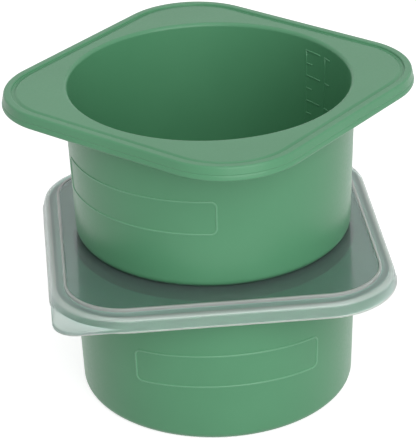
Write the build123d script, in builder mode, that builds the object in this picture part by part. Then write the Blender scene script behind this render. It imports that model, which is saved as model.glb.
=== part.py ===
from build123d import *
import os
from math import cos, radians, sin

os.makedirs("parts", exist_ok=True)

# Lengths are in millimetres and angles in degrees. Z is up, and the origin is the centre of the lower tub's
# underside. The lower tub's square flange lies along X and Y, and its front is towards -Y.
front = -90
back = 90

# One tub, moulded in soft green plastic: a round cup under a square flange
tub_height = 63.5
foot_radius = 55.0
collar_radius = 57.1
wall_thickness = 1.8
floor_thickness = 3.2
foot_rounding = 3.4
floor_rounding = 6.0
lip_rounding = 1.5
collar_rounding = 1.6

# The tub's flange: a plate inside a groove and a rounded bead, with a turned-down edge
flange_reach = 9.5
flange_corner = 32.0
flange_edge_height = 5.7
flange_edge_wall = 3.4
plate_thickness = 2.4
plate_drop = 0.35
bead_width = 3.9
bead_outer_rounding = 1.8
bead_inner_bevel = 0.5
groove_width = 1.7
groove_depth = 1.1
plate_edge_bevel = 0.6
edge_lip_height = 2.2
edge_lip_bevel = 0.4
crease_height = 0.4
crease_depth = 0.35

# Raised outline of a bare label panel on the front of the tub. The lower tub's panel is arched a little.
panel_width = 77.7
panel_height = 14.7
panel_middle_height = 30.7
panel_corner = 2.8
panel_line_width = 0.8
panel_line_proud = 0.4
lower_panel_arch = 1.5
upper_panel_arch = 0

# Raised filling scale inside the tub, near its back: two upright lines with level ticks
scale_top_depth = 5.8
scale_step = 10.9
scale_level_count = 5
scale_tail = 3.0
scale_line_width = 0.8
scale_line_proud = 0.35
scale_tick_length = 8.4
scale_short_tick_length = 3.4
scale_spacing = 11.4
scale_turn = -14.5

# Lid, thin frosted plastic: skirt, rim, raised rib and the centre panel inside it
lid_thickness = 1.0
lid_height = 5.6
lid_corner = 29.5
lid_edge_rounding = 2.4
lid_inner_rounding = 1.4
skirt_wall = 0.6
skirt_clearance = 0.2
skirt_bead_height = 0.7
skirt_bead_proud = 0.2
rib_setback = 4.9
rib_height = 1.9
rib_crest_width = 0.9
rib_rounding = 0.3
rib_inner_slope = 45
centre_rise = 1.1

# Pull tab on the lid's front left corner
tab_corner = 9.5
tab_setback = 0.3
tab_thickness = 2.0
tab_rounding = 0.6

# How the upper tub stands on the lid: turned, and pushed towards the rib at the back
upper_turn = -42.8
upper_shift = 0.4
upper_setback = 4.9

overrun = 1.0

scale_top_height = tub_height - scale_top_depth
flange_side = 2 * (collar_radius + flange_reach)
flange_foot_height = tub_height - flange_edge_height
plate_height = tub_height - plate_drop
plate_underside_height = plate_height - plate_thickness
inner_foot_radius = foot_radius - wall_thickness
inner_collar_radius = collar_radius - wall_thickness
opening_radius = inner_collar_radius + lip_rounding
cup_reach = max(foot_radius, collar_radius) + overrun

lid_side = flange_side + 2 * (skirt_clearance + skirt_wall)
rim_height = tub_height + lid_thickness
skirt_foot_height = rim_height - lid_height
rib_crest_height = rim_height + rib_height
centre_height = rim_height + centre_rise
rib_side = lid_side - 2 * rib_setback
rib_corner = lid_corner - rib_setback


def wall_radius(height):
    """Outer radius of the cup's sloping wall at a height above its underside."""
    share = height / plate_height
    return foot_radius + (collar_radius - foot_radius) * share


def rounded_square(side, corner, setback=0, mode=Mode.ADD):
    """Square with round corners, its outline set in by the same distance all round."""
    RectangleRounded(side - 2 * setback, side - 2 * setback, corner - setback, mode=mode)


def section_plane(stand):
    """Upright plane through a tub's axis: its X is the radius and its Y is the height."""
    return Plane(origin=stand.origin, x_dir=stand.x_dir, z_dir=-stand.y_dir)


def facing_plane(stand, turn):
    """Upright plane through a tub's axis that looks out at an angle from the tub's own X."""
    outward = stand.x_dir * cos(radians(turn)) + stand.y_dir * sin(radians(turn))
    return Plane(origin=stand.origin, x_dir=stand.z_dir.cross(outward), z_dir=outward)


def panel_line(half_width, height, arch):
    """Line across the panel, level or with its middle raised by an arch."""
    if arch:
        ThreePointArc((-half_width, height), (0, height + arch), (half_width, height))
    else:
        Line((-half_width, height), (half_width, height))


def panel_outline(stand, arch):
    """Thin raised outline of the label panel, bent round the front of the cup."""
    radius = wall_radius(panel_middle_height)
    half_chord = radius * sin(panel_width / 2 / radius)
    foot = panel_middle_height - panel_height / 2
    top = panel_middle_height + panel_height / 2
    low = panel_middle_height - panel_height
    high = panel_middle_height + panel_height
    with BuildPart() as outline:
        with BuildSketch(facing_plane(stand, front)):
            with BuildLine():
                panel_line(half_chord, foot, arch)
                panel_line(half_chord, top, arch)
                Line((-half_chord, foot), (-half_chord, top))
                Line((half_chord, foot), (half_chord, top))
            corners = make_face().vertices()
            fillet(corners, panel_corner)
            offset(amount=-panel_line_width, mode=Mode.SUBTRACT)
        extrude(amount=cup_reach)
        with BuildSketch(section_plane(stand)):
            with BuildLine():
                Polyline(
                    (wall_radius(low) - wall_thickness / 2, low),
                    (wall_radius(low) + panel_line_proud, low),
                    (wall_radius(high) + panel_line_proud, high),
                    (wall_radius(high) - wall_thickness / 2, high),
                    close=True,
                )
            make_face()
        revolve(axis=Axis(stand.origin, stand.z_dir), mode=Mode.INTERSECT)
    return outline.part


def filling_scale(stand):
    """Two upright lines with level ticks, raised on the inside of the cup's wall."""
    levels = [scale_top_height - scale_step * index for index in range(scale_level_count)]
    half_levels = [level - scale_step / 2 for level in levels[:-1]]
    left_line = scale_spacing / 2
    right_line = -scale_spacing / 2
    line_length = scale_top_height - levels[-1] + scale_tail
    low = scale_top_height - line_length - overrun
    high = scale_top_height + overrun
    corner = (Align.MAX, Align.MAX)
    with BuildPart() as scale:
        with BuildSketch(facing_plane(stand, back + scale_turn)):
            with Locations((left_line, scale_top_height), (right_line, scale_top_height)):
                Rectangle(scale_line_width, line_length, align=(Align.CENTER, Align.MAX))
            for level in levels:
                with Locations((left_line, level)):
                    Rectangle(scale_tick_length, scale_line_width, align=corner)
                with Locations((right_line, level)):
                    Rectangle(scale_short_tick_length, scale_line_width, align=corner)
            for level in half_levels:
                with Locations((left_line, level)):
                    Rectangle(scale_short_tick_length, scale_line_width, align=corner)
        extrude(amount=cup_reach)
        with BuildSketch(section_plane(stand)):
            with BuildLine():
                Polyline(
                    (wall_radius(low) - wall_thickness / 2, low),
                    (wall_radius(low) - wall_thickness - scale_line_proud, low),
                    (wall_radius(high) - wall_thickness - scale_line_proud, high),
                    (wall_radius(high) - wall_thickness / 2, high),
                    close=True,
                )
            make_face()
        revolve(axis=Axis(stand.origin, stand.z_dir), mode=Mode.INTERSECT)
    return scale.part


def build_tub(stand, panel_arch, label):
    """One tub whose underside lies on the stand plane."""
    axis = Axis(stand.origin, stand.z_dir)
    with BuildPart() as tub:
        with BuildSketch(stand.offset(flange_foot_height)):
            rounded_square(flange_side, flange_corner)
        extrude(amount=flange_edge_height)

        # The plate lies a little below the bead, and the groove is between them
        with BuildSketch(stand.offset(plate_height)):
            rounded_square(flange_side, flange_corner, bead_width)
        extrude(amount=plate_drop + overrun, mode=Mode.SUBTRACT)
        with BuildSketch(stand.offset(tub_height - groove_depth)):
            rounded_square(flange_side, flange_corner, bead_width)
            rounded_square(flange_side, flange_corner, bead_width + groove_width, Mode.SUBTRACT)
        extrude(amount=groove_depth + overrun, mode=Mode.SUBTRACT)

        # Hollow under the plate, inside the turned-down edge
        with BuildSketch(stand.offset(flange_foot_height - overrun)):
            rounded_square(flange_side, flange_corner, flange_edge_wall)
        extrude(amount=plate_underside_height - flange_foot_height + overrun, mode=Mode.SUBTRACT)

        # Softened edges of the plate, of the bead and of the lip at the foot of the edge
        levels = tub.faces().filter_by(Plane(stand.origin, z_dir=stand.z_dir)).group_by(axis)
        edge_foot = levels[0].face()
        plate = levels[-2].face()
        crest = levels[-1].face()
        chamfer(plate.outer_wire().edges(), plate_edge_bevel)
        chamfer(crest.inner_wires()[0].edges(), bead_inner_bevel)
        fillet(crest.outer_wire().edges(), bead_outer_rounding)
        chamfer(edge_foot.outer_wire().edges(), edge_lip_bevel)

        # Crease round the edge, between the bead and the lip
        with BuildSketch(stand.offset(flange_foot_height + edge_lip_height)):
            rounded_square(flange_side, flange_corner, -overrun)
            rounded_square(flange_side, flange_corner, crease_depth, Mode.SUBTRACT)
        extrude(amount=crease_height, mode=Mode.SUBTRACT)

        # Outside of the cup, with a rounded foot and a rounded corner under the plate
        with BuildSketch(section_plane(stand)):
            collar = (wall_radius(plate_underside_height), plate_underside_height)
            collar_reach = collar[0] + 2 * collar_rounding
            with BuildLine():
                Polyline(
                    (0, 0),
                    (foot_radius, 0),
                    collar,
                    (collar_reach, plate_underside_height),
                    (collar_reach, plate_height),
                    (0, plate_height),
                    close=True,
                )
            corners = make_face().vertices()
            fillet(corners.sort_by_distance((foot_radius, 0, 0))[0], foot_rounding)
            fillet(corners.sort_by_distance((*collar, 0))[0], collar_rounding)
        revolve(axis=axis)

        # Inside of the cup, with its rounded floor and lip
        with BuildSketch(section_plane(stand)):
            floor_corner = (inner_foot_radius, floor_thickness)
            with BuildLine():
                Polyline(
                    (0, tub_height + overrun),
                    (0, floor_thickness),
                    floor_corner,
                    (inner_collar_radius, plate_height - lip_rounding),
                )
                RadiusArc(
                    (inner_collar_radius, plate_height - lip_rounding),
                    (opening_radius, plate_height),
                    lip_rounding,
                )
                Polyline(
                    (opening_radius, plate_height),
                    (opening_radius, tub_height + overrun),
                    (0, tub_height + overrun),
                )
            corners = make_face().vertices()
            fillet(corners.sort_by_distance((*floor_corner, 0))[0], floor_rounding)
        revolve(axis=axis, mode=Mode.SUBTRACT)

        add(panel_outline(stand, panel_arch))
        add(filling_scale(stand))
    tub.part.label = label
    return tub.part


def pull_tab():
    """Flat squarer corner that stands out past the lid's rounder one, with rounded edges."""
    start = lid_corner - lid_side / 2
    with BuildPart() as tab:
        with BuildSketch(Plane.XY.offset(skirt_foot_height)):
            rounded_square(lid_side, tab_corner + tab_setback, tab_setback)
            with Locations((start, start)):
                Rectangle(lid_side, lid_side, align=(Align.MAX, Align.MAX), mode=Mode.INTERSECT)
        extrude(amount=tab_thickness)
        flat_faces = tab.faces().filter_by(Axis.Z)
        fillet(flat_faces.edges(), tab_rounding)
    return tab.part


lower_tub = build_tub(Plane.XY, lower_panel_arch, "lower_tub")
export_step(lower_tub, "parts/lower_tub.step")

upper_stand = Plane(
    origin=(upper_shift, upper_setback, centre_height),
    x_dir=(cos(radians(upper_turn)), sin(radians(upper_turn)), 0),
    z_dir=(0, 0, 1),
)
upper_tub = build_tub(upper_stand, upper_panel_arch, "upper_tub")
export_step(upper_tub, "parts/upper_tub.step")

with BuildPart() as lid:
    # Rim and skirt
    with BuildSketch(Plane.XY.offset(skirt_foot_height)):
        rounded_square(lid_side, lid_corner)
    extrude(amount=lid_height)
    fillet(lid.faces().sort_by(Axis.Z)[-1].outer_wire().edges(), lid_edge_rounding)

    # Fine bead along the skirt's foot
    with BuildSketch(Plane.XY.offset(skirt_foot_height)):
        rounded_square(lid_side, lid_corner, -skirt_bead_proud)
    extrude(amount=skirt_bead_height)

    add(pull_tab())

    # Raised rib, and the centre panel inside it
    with BuildSketch(Plane.XY.offset(rim_height)):
        rounded_square(rib_side, rib_corner)
    extrude(amount=rib_height)
    fillet(lid.faces().sort_by(Axis.Z)[-1].outer_wire().edges(), rib_rounding)
    with BuildSketch(Plane.XY.offset(rib_crest_height)):
        rounded_square(rib_side, rib_corner, rib_crest_width)
    extrude(amount=centre_height - rib_crest_height, taper=rib_inner_slope, mode=Mode.SUBTRACT)

    # Hollow inside the skirt, with a rounded corner, and the one under the rib and the panel
    with BuildSketch(Plane.XY.offset(skirt_foot_height - overrun)):
        rounded_square(lid_side, lid_corner, skirt_wall)
    extrude(amount=lid_height - lid_thickness + overrun, mode=Mode.SUBTRACT)
    ceiling = lid.faces().filter_by(Axis.Z).sort_by_distance((0, 0, tub_height))[0]
    fillet(ceiling.outer_wire().edges(), lid_inner_rounding)
    with BuildSketch(Plane.XY.offset(tub_height - overrun)):
        rounded_square(rib_side, rib_corner, lid_thickness)
    extrude(amount=overrun + centre_height - lid_thickness - tub_height, mode=Mode.SUBTRACT)
lid.part.label = "lid"
export_step(lid.part, "parts/lid.step")
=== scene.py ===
from math import atan2, cos, degrees, pi, radians, sin, sqrt, tan

import bmesh
import bpy
from mathutils import Matrix, Vector


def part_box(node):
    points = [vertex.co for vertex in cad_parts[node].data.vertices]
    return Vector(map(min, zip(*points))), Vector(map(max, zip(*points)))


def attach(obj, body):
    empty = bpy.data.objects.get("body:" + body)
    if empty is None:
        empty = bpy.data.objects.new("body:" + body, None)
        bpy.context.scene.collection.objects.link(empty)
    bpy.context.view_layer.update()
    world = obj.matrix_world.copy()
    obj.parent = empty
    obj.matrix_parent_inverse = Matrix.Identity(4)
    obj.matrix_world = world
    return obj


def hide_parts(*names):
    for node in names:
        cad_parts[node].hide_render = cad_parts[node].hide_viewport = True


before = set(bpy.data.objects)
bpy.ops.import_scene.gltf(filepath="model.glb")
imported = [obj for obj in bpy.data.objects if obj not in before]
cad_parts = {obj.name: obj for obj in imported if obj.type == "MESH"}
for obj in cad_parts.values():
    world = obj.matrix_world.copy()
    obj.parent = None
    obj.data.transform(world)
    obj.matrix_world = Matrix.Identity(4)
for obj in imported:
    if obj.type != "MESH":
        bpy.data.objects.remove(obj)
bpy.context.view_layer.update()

# Lengths are in millimetres, and become metres where a piece or the camera is made. Those of the
# lamps and the floor are in metres
MM = 0.001
RIGHT_ANGLE = pi / 2

# Points nearer than this are joined, and edges shorter than this are taken out
WELD_DISTANCE = 0.0005
SLIVER_LENGTH = 0.0002

# Sizes that the CAD model gives
lower_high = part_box("lower_tub")[1]
lid_low, lid_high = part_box("lid")
upper_low, upper_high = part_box("upper_tub")
TUB_HEIGHT = lower_high.z / MM
FLANGE_HALF = lower_high.x / MM
SKIRT_FOOT = lid_low.z / MM
UPPER_FOOT = upper_low.z / MM
UPPER_SHIFT = (upper_low.x + upper_high.x) / 2 / MM
UPPER_SETBACK = (upper_low.y + upper_high.y) / 2 / MM
UPPER_TURN = radians(-42.8)

# The tub's small sizes, as in the CAD model but for a shallower groove
FOOT_RADIUS = 55.0
COLLAR_RADIUS = 57.1
WALL = 1.8
FLOOR = 3.2
FOOT_ROUNDING = 3.4
FLOOR_ROUNDING = 6.0
LIP_ROUNDING = 1.5
COLLAR_ROUNDING = 1.6
FLANGE_CORNER = 32.0
EDGE_HEIGHT = 5.7
EDGE_WALL = 3.4
PLATE_THICKNESS = 2.4
PLATE_DROP = 0.35
BEAD_WIDTH = 3.9
BEAD_INNER_ROUNDING = 0.5
GROOVE_WIDTH = 1.7
GROOVE_DEPTH = 0.9
GROOVE_ROUNDING = 0.3
PLATE_EDGE_BEVEL = 0.6
EDGE_LIP_HEIGHT = 2.2
CREASE_HEIGHT = 0.4
FINE_ROUNDING = 0.2

# Rings of the flat underside and of the floor inside, as shares of their widths
UNDERSIDE_SHARES = (0.2, 0.5, 0.8, 0.97)
FLOOR_SHARES = (0.95, 0.75, 0.5, 0.2)

# The flange's edge leans in towards its top, and so does the lid's skirt over it
EDGE_LEAN_WIDTH = 1.2
EDGE_LEAN = atan2(EDGE_LEAN_WIDTH, EDGE_HEIGHT)
EDGE_ROUNDING = 0.9
CREASE_DEPTH = 0.2
CREASE_SOFTNESS = 0.3

PLATE_TOP = TUB_HEIGHT - PLATE_DROP
PLATE_UNDERSIDE = PLATE_TOP - PLATE_THICKNESS
EDGE_FOOT = TUB_HEIGHT - EDGE_HEIGHT

# Label panel outline and filling scale
PANEL_WIDTH = 77.7
PANEL_HEIGHT = 14.7
PANEL_MIDDLE = 30.7
PANEL_CORNER = 2.8
LOWER_PANEL_ARCH = 1.5
UPPER_PANEL_ARCH = 0
LINE_WIDTH = 0.8
LINE_PROUD = 0.3
LINE_ROOT = 0.5
SCALE_TOP = TUB_HEIGHT - 5.8
SCALE_STEP = 10.9
SCALE_LEVELS = 5
SCALE_TAIL = 3.0
SCALE_SPACING = 11.4
SCALE_TURN = radians(-14.5)
SCALE_TICK = 8.4
SCALE_SHORT_TICK = 3.4

# The lid's small sizes
SKIRT_WALL = 0.6
SKIRT_BEAD_HEIGHT = 0.7
SKIRT_BEAD_PROUD = 0.2
LID_HALF = lid_high.x / MM - SKIRT_BEAD_PROUD
LID_CORNER = 29.5
LID_THICKNESS = 1.0
LID_EDGE_ROUNDING = 2.2
LID_INNER_ROUNDING = 1.3
RIB_SETBACK = 5.9
RIB_HEIGHT = 1.5
RIB_CREST = 0.9
RIB_ROUNDING = 0.45
CENTRE_RISE = 1.1
TAB_CORNER = 9.5
TAB_SETBACK = 0.3
TAB_THICKNESS = 2.0
TAB_ROUNDING = 0.6

RIM_TOP = TUB_HEIGHT + LID_THICKNESS
CENTRE_TOP = RIM_TOP + CENTRE_RISE

# Rings: a piece is a stack of rings with equal counts of points, joined by quads
ARC_STEPS = 44
SIDE_STEPS = 26


def square_ring(half, corner, height, arc_reach=None):
    """Rounded square, one point per step along its sides and round its corners."""
    points = []
    inner = half - corner
    for quarter in range(4):
        spin = Matrix.Rotation(quarter * RIGHT_ANGLE, 3, "Z")
        for step in range(SIDE_STEPS):
            along = -inner + 2 * inner * step / SIDE_STEPS
            points.append(spin @ Vector((half, along, height)))
        for step in range(ARC_STEPS):
            angle = RIGHT_ANGLE * step / ARC_STEPS
            reach = corner
            if arc_reach is not None:
                reach = arc_reach(quarter, angle, corner)
            place = Vector((inner + reach * cos(angle), inner + reach * sin(angle), height))
            points.append(spin @ place)
    return points


POLAR_ANGLES = [atan2(p.y, p.x) for p in square_ring(FLANGE_HALF, FLANGE_CORNER, 0)]


def round_ring(radius, height):
    """Circle whose points lie at the same angles as those of the flange's outline."""
    return [Vector((radius * cos(a), radius * sin(a), height)) for a in POLAR_ANGLES]


def arc(centre, radius, start, end, steps):
    """Points (reach, height) along an arc in the section, angles in degrees."""
    angles = [radians(start + (end - start) * i / steps) for i in range(steps + 1)]
    return [(centre[0] + radius * cos(a), centre[1] + radius * sin(a)) for a in angles]


def loft(mesh, rings, first_centre, last_centre):
    """Joins rings by quads, and closes either end with a fan to a centre point."""
    loops = [[mesh.verts.new(p) for p in ring] for ring in rings]
    count = len(loops[0])
    first_hub = mesh.verts.new(first_centre)
    last_hub = mesh.verts.new(last_centre)
    for i in range(count):
        j = (i + 1) % count
        mesh.faces.new((first_hub, loops[0][j], loops[0][i]))
        for low, high in zip(loops, loops[1:]):
            mesh.faces.new((low[i], low[j], high[j], high[i]))
        mesh.faces.new((last_hub, loops[-1][i], loops[-1][j]))


def finish_piece(mesh, name, node, materials):
    """Turns the working mesh into a smooth piece that stands for its CAD node."""
    bmesh.ops.remove_doubles(mesh, verts=mesh.verts, dist=WELD_DISTANCE)
    bmesh.ops.dissolve_degenerate(mesh, edges=mesh.edges, dist=SLIVER_LENGTH)
    bmesh.ops.scale(mesh, vec=Vector((MM, MM, MM)), verts=mesh.verts)
    bmesh.ops.recalc_face_normals(mesh, faces=mesh.faces)
    data = bpy.data.meshes.new(name)
    mesh.to_mesh(data)
    mesh.free()
    for material in materials:
        data.materials.append(material)
    data.shade_smooth()
    piece = bpy.data.objects.new(name, data)
    bpy.context.scene.collection.objects.link(piece)
    weighted = piece.modifiers.new("weighted_normals", "WEIGHTED_NORMAL")
    weighted.keep_sharp = True
    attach(piece, node)
    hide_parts(node)


# The tub

def wall_radius(height):
    """Outer radius of the cup at a height above its underside."""
    return FOOT_RADIUS + (COLLAR_RADIUS - FOOT_RADIUS) * height / PLATE_TOP


def inner_radius(height):
    """Inner radius of the cup at a height above its underside."""
    share = (height - FLOOR) / (PLATE_TOP - LIP_ROUNDING - FLOOR)
    return FOOT_RADIUS - WALL + (COLLAR_RADIUS - FOOT_RADIUS) * share


def edge_middle(height):
    """Reach of the middle of a small rounding in the flange's leaning edge."""
    rise = height - EDGE_FOOT - EDGE_ROUNDING
    return FLANGE_HALF - EDGE_ROUNDING - rise * tan(EDGE_LEAN)


def edge_reach(height):
    """Reach of the flange's leaning edge at a height."""
    return edge_middle(height) + EDGE_ROUNDING / cos(EDGE_LEAN)


def tub_rings():
    """Rings from the middle of the underside, up the outside, over the flange and to the floor."""
    rings = []

    def add_round(section):
        rings.extend(round_ring(radius, height) for radius, height in section)

    def add_square(section):
        for reach, height in section:
            corner = FLANGE_CORNER - (FLANGE_HALF - reach)
            rings.append(square_ring(reach, corner, height))

    foot_middle = (wall_radius(FOOT_ROUNDING) - FOOT_ROUNDING, FOOT_ROUNDING)
    collar_start = PLATE_UNDERSIDE - COLLAR_ROUNDING
    collar_middle = (wall_radius(collar_start) + COLLAR_ROUNDING, collar_start)
    wall_steps = 12
    add_round([(foot_middle[0] * share, 0) for share in UNDERSIDE_SHARES])
    add_round(arc(foot_middle, FOOT_ROUNDING, -90, 0, steps=8))
    for step in range(1, wall_steps):
        height = FOOT_ROUNDING + (collar_start - FOOT_ROUNDING) * step / wall_steps
        add_round([(wall_radius(height), height)])
    add_round(arc(collar_middle, COLLAR_ROUNDING, 180, 90, steps=6))

    # Underside of the plate and the turned-down edge
    edge_inside = FLANGE_HALF - EDGE_WALL
    add_square([(edge_inside - 3 * FINE_ROUNDING, PLATE_UNDERSIDE)])
    corner = (edge_inside - FINE_ROUNDING, PLATE_UNDERSIDE - FINE_ROUNDING)
    add_square(arc(corner, FINE_ROUNDING, 90, 0, steps=3))
    corner = (edge_inside + FINE_ROUNDING, EDGE_FOOT + FINE_ROUNDING)
    add_square(arc(corner, FINE_ROUNDING, 180, 270, steps=3))
    foot_height = EDGE_FOOT + EDGE_ROUNDING
    lean = degrees(EDGE_LEAN)
    add_square(arc((edge_middle(foot_height), foot_height), EDGE_ROUNDING, -90, lean, steps=6))

    # Crease round the edge, with soft sides
    crease_foot = EDGE_FOOT + EDGE_LIP_HEIGHT
    crease_middle = crease_foot + CREASE_HEIGHT / 2
    crease_steps = 10
    for step in range(crease_steps + 1):
        across = 2 * step / crease_steps - 1
        height = crease_middle + across * (CREASE_HEIGHT / 2 + CREASE_SOFTNESS)
        depth = CREASE_DEPTH * (1 + cos(pi * across)) / 2
        add_square([(edge_reach(height) - depth, height)])

    # Bead, groove and plate, whose edge slopes down gently into the groove
    crest_height = TUB_HEIGHT - EDGE_ROUNDING
    add_square(arc((edge_middle(crest_height), crest_height), EDGE_ROUNDING, lean, 90, steps=8))
    bead_inside = FLANGE_HALF - BEAD_WIDTH
    corner = (bead_inside + BEAD_INNER_ROUNDING, TUB_HEIGHT - BEAD_INNER_ROUNDING)
    add_square(arc(corner, BEAD_INNER_ROUNDING, 90, 180, steps=6))
    groove_floor = TUB_HEIGHT - GROOVE_DEPTH
    corner = (bead_inside - GROOVE_ROUNDING, groove_floor + GROOVE_ROUNDING)
    add_square(arc(corner, GROOVE_ROUNDING, 0, -90, steps=4))
    slope_foot = bead_inside - GROOVE_WIDTH / 2
    slope_width = GROOVE_WIDTH / 2 + PLATE_EDGE_BEVEL
    slope_steps = 8
    for step in range(slope_steps + 1):
        share = step / slope_steps
        rise = (PLATE_TOP - groove_floor) * (1 - cos(pi * share)) / 2
        add_square([(slope_foot - slope_width * share, groove_floor + rise)])
    add_square([(slope_foot - slope_width - FINE_ROUNDING, PLATE_TOP)])

    # Lip, inner wall and floor
    lip_middle = (COLLAR_RADIUS - WALL + LIP_ROUNDING, PLATE_TOP - LIP_ROUNDING)
    floor_start = FLOOR + FLOOR_ROUNDING
    floor_middle = (inner_radius(floor_start) - FLOOR_ROUNDING, floor_start)
    add_round([(lip_middle[0] + FINE_ROUNDING, PLATE_TOP)])
    add_round(arc(lip_middle, LIP_ROUNDING, 90, 180, steps=10))
    for step in range(1, wall_steps):
        height = lip_middle[1] + (floor_start - lip_middle[1]) * step / wall_steps
        add_round([(inner_radius(height), height)])
    add_round(arc(floor_middle, FLOOR_ROUNDING, 0, -90, steps=10))
    add_round([(floor_middle[0] * share, FLOOR) for share in FLOOR_SHARES])
    return rings


def ridge(mesh, path, closed, painted_highlight):
    """Low rounded ridge along a path on a wall, its root sunk in the wall, in the tub's green
    or in a paler green that is a painted highlight.

    Each point of the path is (place, direction across the line, direction out of the wall).
    """
    half = LINE_WIDTH / 2
    crest_steps = 12
    crest = [radians(180 - 180 * step / crest_steps) for step in range(crest_steps + 1)]
    section = [(half * cos(angle), LINE_PROUD * sin(angle)) for angle in crest]
    section = [(-half, -LINE_ROOT), *section, (half, -LINE_ROOT)]
    loops = []
    for place, across, out in path:
        loops.append([mesh.verts.new(place + across * x + out * y) for x, y in section])
    pairs = list(zip(loops, loops[1:]))
    if closed:
        pairs.append((loops[-1], loops[0]))
    count = len(section)
    for one, other in pairs:
        for i in range(count):
            j = (i + 1) % count
            face = mesh.faces.new((one[i], one[j], other[j], other[i]))
            face.material_index = int(painted_highlight)
    if not closed:
        mesh.faces.new(loops[0][::-1])
        mesh.faces.new(loops[-1])


def wall_point(angle, height, radius):
    """Place on an upright wall, with the direction along it and the one out of it."""
    out = Vector((cos(angle), sin(angle), 0))
    along = Vector((-sin(angle), cos(angle), 0))
    return out * radius(height) + Vector((0, 0, height)), along, out


def panel_path(arch):
    """Closed rounded rectangle bent round the front of the cup, its level lines arched a little."""
    half_width = (PANEL_WIDTH - LINE_WIDTH) / 2
    half_height = (PANEL_HEIGHT - LINE_WIDTH) / 2
    corner = PANEL_CORNER - LINE_WIDTH / 2
    corner_steps = 8
    side_steps = 48
    flat = []
    for quarter, (sx, sy) in enumerate(((1, -1), (1, 1), (-1, 1), (-1, -1))):
        middle = (sx * (half_width - corner), sy * (half_height - corner))
        start = (quarter - 1) * RIGHT_ANGLE
        for step in range(corner_steps + 1):
            angle = start + RIGHT_ANGLE * step / corner_steps
            flat.append((middle[0] + corner * cos(angle), middle[1] + corner * sin(angle), angle))
        if quarter in (1, 3):
            for step in range(1, side_steps):
                x = sx * (half_width - corner) * (1 - 2 * step / side_steps)
                flat.append((x, sy * half_height, start + RIGHT_ANGLE))
    path = []
    radius = wall_radius(PANEL_MIDDLE)
    for x, y, angle in flat:
        chord_share = sin(x / radius) / sin(half_width / radius)
        height = PANEL_MIDDLE + y + arch * (1 - chord_share**2)
        place, along, out = wall_point(-RIGHT_ANGLE + x / radius, height, wall_radius)
        across = along * cos(angle) + Vector((0, 0, sin(angle)))
        path.append((place, across, out))
    return path


def scale_lines(mesh):
    """Two upright lines with level ticks, raised inside the cup."""
    up = Vector((0, 0, 1))
    middle = RIGHT_ANGLE + SCALE_TURN
    radius = inner_radius(SCALE_TOP)
    left = middle + SCALE_SPACING / 2 / radius
    right = middle - SCALE_SPACING / 2 / radius
    length = SCALE_STEP * (SCALE_LEVELS - 1) + SCALE_TAIL
    line_steps = 12
    for angle in (left, right):
        path = []
        for step in range(line_steps + 1):
            height = SCALE_TOP - length * step / line_steps
            place, along, out = wall_point(angle, height, inner_radius)
            path.append((place, along, -out))
        ridge(mesh, path, closed=False, painted_highlight=False)
    ticks = []
    for level in range(SCALE_LEVELS):
        height = SCALE_TOP - LINE_WIDTH / 2 - SCALE_STEP * level
        ticks.append((left, height, SCALE_TICK))
        ticks.append((right, height, SCALE_SHORT_TICK))
        if level < SCALE_LEVELS - 1:
            ticks.append((left, height - SCALE_STEP / 2, SCALE_SHORT_TICK))
    tick_steps = 8
    for start, height, reach in ticks:
        path = []
        for step in range(tick_steps + 1):
            angle = start - reach * step / tick_steps / radius
            place, along, out = wall_point(angle, height, inner_radius)
            path.append((place, up, -out))
        ridge(mesh, path, closed=False, painted_highlight=False)


def make_tub(name, node, panel_arch, place):
    """One tub, moved to its place on the floor or on the lid."""
    mesh = bmesh.new()
    loft(mesh, tub_rings(), (0, 0, 0), (0, 0, FLOOR))
    # The panel's outline ridge takes the paler green: a painted highlight along its crest.
    ridge(mesh, panel_path(panel_arch), closed=True, painted_highlight=True)
    scale_lines(mesh)
    bmesh.ops.transform(mesh, matrix=place, verts=mesh.verts)
    finish_piece(mesh, name, node, [green, green_painted_highlight])


# The lid

FRONT_LEFT = 2

# The lid's zones, in the order of its materials
CENTRE_ZONE, RIM_ZONE, SKIRT_ZONE, SOFT_EDGE_HIGHLIGHT_ZONE, MILKY_HIGHLIGHT_ZONE = range(5)


def tab_reach(half, corner):
    """Function for the reach of the tab's squarer outline from the lid's corner centre."""
    side = half - (LID_HALF - LID_CORNER)
    inner = side - corner

    def reach(angle):
        x, y = cos(angle), sin(angle)
        best = side / max(x, y)
        if best * x > inner and best * y > inner:
            across = inner * (x + y)
            best = across + sqrt(across * across - 2 * inner * inner + corner * corner)
        return best

    return reach


def lid_ring(reach, height, tab_inset=None):
    """Ring of the lid. With a tab inset, its front left corner stands out to the tab's outline."""
    corner = LID_CORNER - (LID_HALF - reach)
    if tab_inset is None:
        return square_ring(reach, corner, height)
    tab = tab_reach(LID_HALF - TAB_SETBACK - tab_inset, TAB_CORNER - tab_inset)

    def arc_reach(quarter, angle, own):
        if quarter == FRONT_LEFT:
            return max(own, tab(angle))
        return own

    return square_ring(reach, corner, height, arc_reach)


def tab_inset_at(height):
    """How far the tab's rounded edge lies inside its outline at a height above the skirt's foot."""
    depth = min(height, TAB_THICKNESS - height)
    if depth >= TAB_ROUNDING:
        return 0.0
    return TAB_ROUNDING - sqrt(max(0.0, TAB_ROUNDING**2 - (TAB_ROUNDING - depth) ** 2))


def skirt_reach_at(height):
    """Reach of the skirt's leaning outside at a height above its foot, with its fine bead."""
    if height >= SKIRT_BEAD_HEIGHT:
        return LID_HALF - (height - SKIRT_BEAD_HEIGHT) * tan(EDGE_LEAN)
    share = height / SKIRT_BEAD_HEIGHT
    return LID_HALF + SKIRT_BEAD_PROUD * sqrt(max(0.0, 1 - (2 * share - 1) ** 4))


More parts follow.
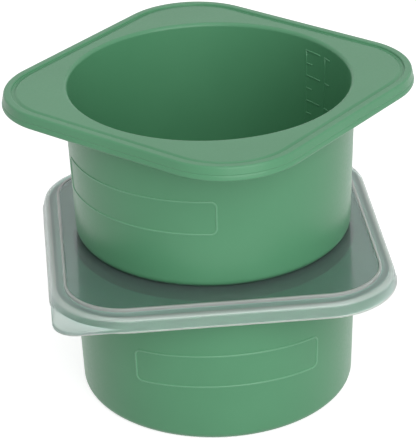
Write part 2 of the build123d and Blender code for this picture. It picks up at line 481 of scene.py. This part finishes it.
def lid_rings():
    """Rings from the middle of the top, down the outside, and up the inside to the middle below."""
    rings = []

    def add(section):
        rings.extend(lid_ring(reach, height) for reach, height in section)

    def add_eased(reach, height, shares):
        """Rings at a corner of the section, as shares of the fine rounding out of and above it."""
        add([(reach + out * fine, height + up * fine) for out, up in shares])

    fine = FINE_ROUNDING
    rib_outside = LID_HALF - RIB_SETBACK
    rib_inside = rib_outside - RIB_CREST
    crest = RIM_TOP + RIB_HEIGHT
    panel_edge = rib_inside - (crest - CENTRE_TOP)
    add_eased(panel_edge, CENTRE_TOP, ((-3, 0), (-1, 0), (0.4, 0.2), (1, 0.9)))
    add_eased(rib_inside, crest, ((-1, -0.9), (-0.3, -0.2), (0.6, 0)))
    add(arc((rib_outside - RIB_ROUNDING, crest - RIB_ROUNDING), RIB_ROUNDING, 90, 0, steps=5))
    add(arc((rib_outside + fine, RIM_TOP + fine), fine, 180, 270, steps=3))
    lean = degrees(EDGE_LEAN)
    edge_height = RIM_TOP - LID_EDGE_ROUNDING
    skirt_reach = skirt_reach_at(edge_height - SKIRT_FOOT)
    corner = (skirt_reach - LID_EDGE_ROUNDING / cos(EDGE_LEAN), edge_height)
    add([(corner[0] - fine, RIM_TOP)])
    add(arc(corner, LID_EDGE_ROUNDING, 90, lean, steps=8))

    # Skirt, its bead and the tab share one set of heights
    for height in (TAB_THICKNESS + fine, TAB_THICKNESS):
        rings.append(lid_ring(skirt_reach_at(height), SKIRT_FOOT + height))
    upper_shares = (1.0, 0.985, 0.94, 0.87, 0.78, 0.7, 0.55, 0.42, 0.35)
    lower_shares = (0.32, 0.27, 0.2, 0.13, 0.07, 0.03, 0.01, 0.0)
    for share in upper_shares + lower_shares:
        height = share * TAB_THICKNESS
        rings.append(lid_ring(skirt_reach_at(height), SKIRT_FOOT + height, tab_inset_at(height)))

    # Inside
    skirt_inside = LID_HALF - SKIRT_WALL
    add([(skirt_inside, SKIRT_FOOT)])
    ceiling_start = TUB_HEIGHT - LID_INNER_ROUNDING
    inset = (ceiling_start - SKIRT_FOOT) * tan(EDGE_LEAN) + LID_INNER_ROUNDING / cos(EDGE_LEAN)
    add(arc((skirt_inside - inset, ceiling_start), LID_INNER_ROUNDING, lean, 90, steps=6))
    hollow = rib_outside - LID_THICKNESS
    ceiling = CENTRE_TOP - LID_THICKNESS
    add_eased(hollow, TUB_HEIGHT, ((1, 0), (0.2, 0.2), (0, 1)))
    add(arc((hollow - fine, ceiling - fine), fine, 0, 90, steps=3))
    add([(hollow - 3 * fine, ceiling)])
    return rings


def lid_reach(place):
    """Reach of the lid's ring that a place lies on, measured as along its sides."""
    inner = LID_HALF - LID_CORNER
    x, y = abs(place.x), abs(place.y)
    if min(x, y) > inner:
        return inner + sqrt((x - inner) ** 2 + (y - inner) ** 2)
    return max(x, y)


def make_lid():
    """The lid, with its rib and pull tab, and a material for each of its zones."""
    mesh = bmesh.new()
    loft(mesh, lid_rings(), (0, 0, CENTRE_TOP), (0, 0, CENTRE_TOP - LID_THICKNESS))
    centre_edge = LID_HALF - RIB_SETBACK - RIB_CREST
    rim_edge = LID_HALF - EDGE_LEAN_WIDTH - LID_EDGE_ROUNDING
    for face in mesh.faces:
        middle = face.calc_center_median()
        reach = lid_reach(middle)
        in_centre = reach < centre_edge and middle.z > TUB_HEIGHT
        in_rib = middle.z > (CENTRE_TOP if in_centre else RIM_TOP) + FINE_ROUNDING
        in_foot = middle.z < SKIRT_FOOT + SKIRT_BEAD_HEIGHT
        on_top = middle.z > TUB_HEIGHT
        # The rib and the foot bead take a whiter, less clear copy of the lid's plastic: a painted
        # highlight.
        if in_rib or in_foot:
            face.material_index = MILKY_HIGHLIGHT_ZONE
        # The rim's outer rounding takes a whiter, less clear copy of the lid's plastic: a painted
        # highlight.
        elif on_top and reach > rim_edge:
            face.material_index = SOFT_EDGE_HIGHLIGHT_ZONE
        elif in_centre:
            face.material_index = CENTRE_ZONE
        elif on_top:
            face.material_index = RIM_ZONE
        else:
            face.material_index = SKIRT_ZONE
    finish_piece(mesh, "frosted_lid", "lid", lid_materials)


# Materials

# The middle of a noise, which is spread over a range
NOISE_LOW = 0.3
NOISE_HIGH = 0.7

# Sockets of the Mix node that hold colours
COLOUR_ONE = 6
COLOUR_OTHER = 7
COLOUR_RESULT = 2


def new_material(name):
    """Material with nodes, and its shader."""
    material = bpy.data.materials.new(name)
    material.use_nodes = True
    shader = material.node_tree.nodes["Principled BSDF"]
    return material, shader


def noise(material, scale, detail):
    """Noise over the piece's own coordinates, in cycles per metre."""
    nodes, links = material.node_tree.nodes, material.node_tree.links
    place = nodes.new("ShaderNodeTexCoord")
    texture = nodes.new("ShaderNodeTexNoise")
    texture.inputs["Scale"].default_value = scale
    texture.inputs["Detail"].default_value = detail
    links.new(place.outputs["Object"], texture.inputs["Vector"])
    return texture.outputs["Fac"]


def spread(material, value, low, high):
    """Maps the middle of a noise onto a range."""
    nodes, links = material.node_tree.nodes, material.node_tree.links
    ramp = nodes.new("ShaderNodeMapRange")
    ramp.inputs["From Min"].default_value = NOISE_LOW
    ramp.inputs["From Max"].default_value = NOISE_HIGH
    ramp.inputs["To Min"].default_value = low
    ramp.inputs["To Max"].default_value = high
    links.new(value, ramp.inputs["Value"])
    return ramp.outputs["Result"]


def mixed_colour(material, value, one, other):
    """Colour between two, by a 0 to 1 value."""
    nodes, links = material.node_tree.nodes, material.node_tree.links
    mix = nodes.new("ShaderNodeMix")
    mix.data_type = "RGBA"
    links.new(value, mix.inputs["Factor"])
    mix.inputs[COLOUR_ONE].default_value = (*one, 1)
    mix.inputs[COLOUR_OTHER].default_value = (*other, 1)
    return mix.outputs[COLOUR_RESULT]


def bump(material, shader, value, strength, distance):
    """Fine relief of a moulded surface."""
    nodes, links = material.node_tree.nodes, material.node_tree.links
    relief = nodes.new("ShaderNodeBump")
    relief.inputs["Strength"].default_value = strength
    relief.inputs["Distance"].default_value = distance
    links.new(value, relief.inputs["Height"])
    links.new(relief.outputs["Normal"], shader.inputs["Normal"])


def linear(red, green, blue):
    """Linear colour of an sRGB one given in 0 to 255."""
    return tuple(((c / 255 + 0.055) / 1.055) ** 2.4 for c in (red, green, blue))


def tub_material(name, one, other):
    """Soft green moulded plastic with a satin skin."""
    material, shader = new_material(name)
    links = material.node_tree.links
    clouds = spread(material, noise(material, scale=28, detail=3), low=0, high=1)
    colour = mixed_colour(material, clouds, linear(*one), linear(*other))
    links.new(colour, shader.inputs["Base Color"])
    skin = spread(material, noise(material, scale=900, detail=2), low=0.30, high=0.38)
    links.new(skin, shader.inputs["Roughness"])
    shader.inputs["Specular IOR Level"].default_value = 0.4
    grain = noise(material, scale=2600, detail=2)
    bump(material, shader, grain, strength=0.15, distance=0.00005)
    return material


def lid_material(name, one, other, clearness, low_roughness, high_roughness, coat):
    """Thin frosted plastic: mostly clear, partly milky, with a thin gloss on top."""
    material, shader = new_material(name)
    links = material.node_tree.links
    clouds = spread(material, noise(material, scale=60, detail=3), low=0, high=1)
    colour = mixed_colour(material, clouds, linear(*one), linear(*other))
    links.new(colour, shader.inputs["Base Color"])
    skin = spread(material, noise(material, scale=1200, detail=2), low_roughness, high_roughness)
    links.new(skin, shader.inputs["Roughness"])
    shader.inputs["Transmission Weight"].default_value = clearness
    shader.inputs["IOR"].default_value = 1.49
    shader.inputs["Coat Weight"].default_value = coat
    shader.inputs["Coat Roughness"].default_value = 0.12
    grain = noise(material, scale=3000, detail=2)
    bump(material, shader, grain, strength=0.1, distance=0.00004)
    return material


# Stage

WHITE = (1, 1, 1, 1)
STAGE_GREY = (0.62, 0.62, 0.62, 1)
STAGE_HALF = 3.0
WORLD_STRENGTH = 0.38
STAGE_GLOW = 0.765
LAMP_TARGET = (0, 0, 0.07)


def seen_directly(tree):
    """1 for rays from the camera, also mirrored or seen through, 0 for those that give light."""
    path = tree.nodes.new("ShaderNodeLightPath")
    value = path.outputs["Is Camera Ray"]
    for output in ("Is Glossy Ray", "Is Transmission Ray"):
        either = tree.nodes.new("ShaderNodeMath")
        either.operation = "MAXIMUM"
        tree.links.new(value, either.inputs[0])
        tree.links.new(path.outputs[output], either.inputs[1])
        value = either.outputs[0]
    first = tree.nodes.new("ShaderNodeMath")
    first.operation = "LESS_THAN"
    first.inputs[1].default_value = 0.5
    tree.links.new(path.outputs["Diffuse Depth"], first.inputs[0])
    both = tree.nodes.new("ShaderNodeMath")
    both.operation = "MULTIPLY"
    tree.links.new(value, both.inputs[0])
    tree.links.new(first.outputs[0], both.inputs[1])
    return both.outputs[0]


def make_world():
    """White behind the object, and a plain soft light on it."""
    world = bpy.data.worlds.new("studio")
    bpy.context.scene.world = world
    world.use_nodes = True
    tree = world.node_tree
    light = tree.nodes["Background"]
    light.inputs["Color"].default_value = WHITE
    light.inputs["Strength"].default_value = WORLD_STRENGTH
    white = tree.nodes.new("ShaderNodeBackground")
    white.inputs["Color"].default_value = WHITE
    white.inputs["Strength"].default_value = 1.0
    mix = tree.nodes.new("ShaderNodeMixShader")
    tree.links.new(seen_directly(tree), mix.inputs["Fac"])
    tree.links.new(light.outputs[0], mix.inputs[1])
    tree.links.new(white.outputs[0], mix.inputs[2])
    tree.links.new(mix.outputs[0], tree.nodes["World Output"].inputs["Surface"])


def make_floor():
    """White floor that keeps the object's shadow."""
    mesh = bmesh.new()
    sides = ((-1, -1), (1, -1), (1, 1), (-1, 1))
    mesh.faces.new([mesh.verts.new((x * STAGE_HALF, y * STAGE_HALF, 0)) for x, y in sides])
    data = bpy.data.meshes.new("floor")
    mesh.to_mesh(data)
    mesh.free()
    floor = bpy.data.objects.new("floor", data)
    bpy.context.scene.collection.objects.link(floor)
    material, shader = new_material("floor_white")
    tree = material.node_tree
    shader.inputs["Base Color"].default_value = STAGE_GREY
    shader.inputs["Roughness"].default_value = 0.9
    shader.inputs["Specular IOR Level"].default_value = 0.0
    glow = tree.nodes.new("ShaderNodeEmission")
    glow.inputs["Color"].default_value = WHITE
    strength = tree.nodes.new("ShaderNodeMath")
    strength.operation = "MULTIPLY"
    strength.inputs[1].default_value = STAGE_GLOW
    tree.links.new(seen_directly(tree), strength.inputs[0])
    tree.links.new(strength.outputs[0], glow.inputs["Strength"])
    both = tree.nodes.new("ShaderNodeAddShader")
    tree.links.new(shader.outputs[0], both.inputs[0])
    tree.links.new(glow.outputs[0], both.inputs[1])
    tree.links.new(both.outputs[0], tree.nodes["Material Output"].inputs["Surface"])
    data.materials.append(material)


def area_light(name, place, size, power):
    """Square soft lamp that faces the object."""
    data = bpy.data.lights.new(name, "AREA")
    data.shape = "SQUARE"
    data.size = size
    data.energy = power
    lamp = bpy.data.objects.new(name, data)
    bpy.context.scene.collection.objects.link(lamp)
    lamp.location = Vector(place)
    lamp.rotation_mode = "QUATERNION"
    lamp.rotation_quaternion = (Vector(LAMP_TARGET) - Vector(place)).to_track_quat("-Z", "Y")


# Camera, from the outlines in the photo
IMAGE_WIDTH = 416
IMAGE_HEIGHT = 438
PRINCIPAL_POINT = (213.65, 232.09)
FOCAL_PIXELS = 2243.0
CAMERA_DISTANCE = 899.9
CAMERA_ELEVATION = radians(27.851)
CAMERA_ROLL = radians(-1.819)
CAMERA_TURN = radians(-4.81)
SENSOR_WIDTH = 36


def make_camera():
    """Camera at the photo's viewing angle, with the photo's perspective."""
    turn = Matrix.Rotation(CAMERA_TURN, 3, "Z")
    forward = turn @ Vector((0, cos(CAMERA_ELEVATION), -sin(CAMERA_ELEVATION)))
    up = turn @ Vector((0, sin(CAMERA_ELEVATION), cos(CAMERA_ELEVATION)))
    right = turn @ Vector((1, 0, 0))
    rolled_right = right * cos(CAMERA_ROLL) + up * sin(CAMERA_ROLL)
    rolled_up = up * cos(CAMERA_ROLL) - right * sin(CAMERA_ROLL)
    data = bpy.data.cameras.new("camera")
    data.sensor_width = SENSOR_WIDTH
    data.lens = FOCAL_PIXELS * SENSOR_WIDTH / IMAGE_HEIGHT
    data.shift_x = (IMAGE_WIDTH / 2 - PRINCIPAL_POINT[0]) / IMAGE_HEIGHT
    data.shift_y = (PRINCIPAL_POINT[1] - IMAGE_HEIGHT / 2) / IMAGE_HEIGHT
    camera = bpy.data.objects.new("camera", data)
    bpy.context.scene.collection.objects.link(camera)
    place = (Vector((0, 0, TUB_HEIGHT)) - forward * CAMERA_DISTANCE) * MM
    axes = Matrix((rolled_right, rolled_up, -forward)).transposed()
    camera.matrix_world = Matrix.Translation(place) @ axes.to_4x4()
    bpy.context.scene.camera = camera


green = tub_material("green_tub", (85, 147, 108), (89, 151, 112))
# Paler copy of the tub's green: a painted highlight along the label panel's outline ridge.
green_painted_highlight = tub_material("green_painted_highlight", (108, 168, 130), (112, 172, 134))

# Each zone of the lid: name, two sRGB colours, clearness, least and most roughness, and coat
LID_LOOKS = (
    ("clear_centre", (212, 236, 234), (217, 240, 238), 0.89, 0.08, 0.12, 0),
    ("frosted_rim", (214, 247, 238), (218, 249, 240), 0.7, 0.3, 0.36, 0.3),
    ("frosted_skirt", (226, 247, 242), (230, 249, 244), 0.9, 0.44, 0.5, 0.4),
    # Whiter, less clear copy of the lid's plastic on the rim's outer rounding: a painted highlight.
    ("soft_edge_painted_highlight", (234, 248, 243), (238, 250, 245), 0.6, 0.4, 0.46, 0.9),
    # Whiter, less clear copy of the lid's plastic on the rib and the foot bead: a painted
    # highlight.
    ("milky_painted_highlight", (244, 245, 242), (248, 248, 245), 0.68, 0.5, 0.56, 1.0),
)
lid_materials = [lid_material(*look) for look in LID_LOOKS]

upper_middle = Matrix.Translation((UPPER_SHIFT, UPPER_SETBACK, UPPER_FOOT))
upper_place = upper_middle @ Matrix.Rotation(UPPER_TURN, 4, "Z")
make_tub("lower_green_tub", "lower_tub", LOWER_PANEL_ARCH, Matrix.Identity(4))
make_lid()
make_tub("upper_green_tub", "upper_tub", UPPER_PANEL_ARCH, upper_place)

make_world()
make_floor()
area_light("key", place=(0.35, -1.3, 0.8), size=1.5, power=18)
area_light("top", place=(0, 0.1, 1.3), size=1.0, power=2)
make_camera()

scene = bpy.context.scene
scene.view_settings.view_transform = "Standard"
